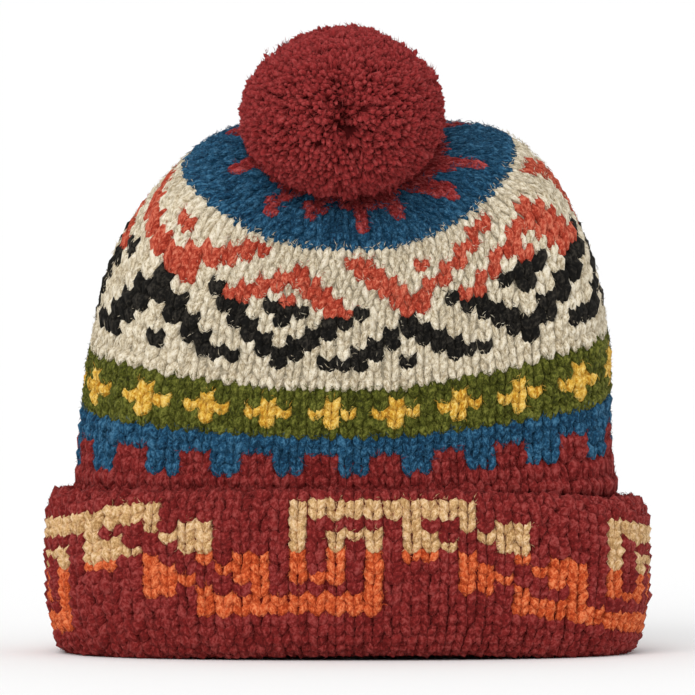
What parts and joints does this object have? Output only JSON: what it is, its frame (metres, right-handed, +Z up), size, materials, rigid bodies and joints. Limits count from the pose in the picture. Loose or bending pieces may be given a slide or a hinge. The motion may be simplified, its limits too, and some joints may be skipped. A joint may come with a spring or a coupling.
{
  "type": "knitted bobble hat",
  "caption": "Knitted beanie in colourwork bands, hollow and open below, with a turned-up cuff to stand on and a yarn pompom tied at the top.",
  "frame": {"origin": "on the ground under the middle of the hat's box", "axes": "+Z up from the cuff's fold to the pompom, the front with the pompom's lean faces -Y"},
  "size_m": [0.2646, 0.1706, 0.2759],
  "materials": {
    "crown_knit": "fuzzy wool knitting",
    "cuff_knit": "fuzzy wool knitting",
    "pompom_yarn": "cut wool yarn ends"
  },
  "bodies": {
    "root": {"crown": "crown_knit", "cuff": "cuff_knit", "pompom": "pompom_yarn", "pompom_tie": "pompom_yarn"}
  },
  "joints": []
}
